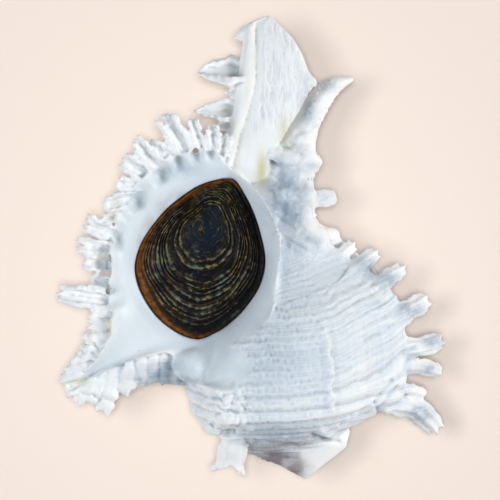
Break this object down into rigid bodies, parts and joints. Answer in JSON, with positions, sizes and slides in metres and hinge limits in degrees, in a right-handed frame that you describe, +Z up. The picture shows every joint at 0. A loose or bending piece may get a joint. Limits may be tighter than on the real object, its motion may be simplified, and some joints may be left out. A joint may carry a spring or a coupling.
{
  "type": "murex shell",
  "caption": "White murex sea shell lying on its back, with a frilled lip, frond spines, a long siphonal canal and a dark operculum closing the aperture.",
  "frame": {"origin": "on the ground, under the middle of the object's box", "axes": "+Z up out of the aperture, +Y along the shell to the tip of the siphonal canal, +X to the older varix, away from the outer lip"},
  "size_m": [0.1266, 0.1506, 0.0905],
  "materials": {
    "shell": "chalky white with a porcelain lip",
    "operculum": "dark horn with concentric growth ridges"
  },
  "bodies": {
    "root": {"shell": "shell", "operculum": "operculum"}
  },
  "joints": []
}
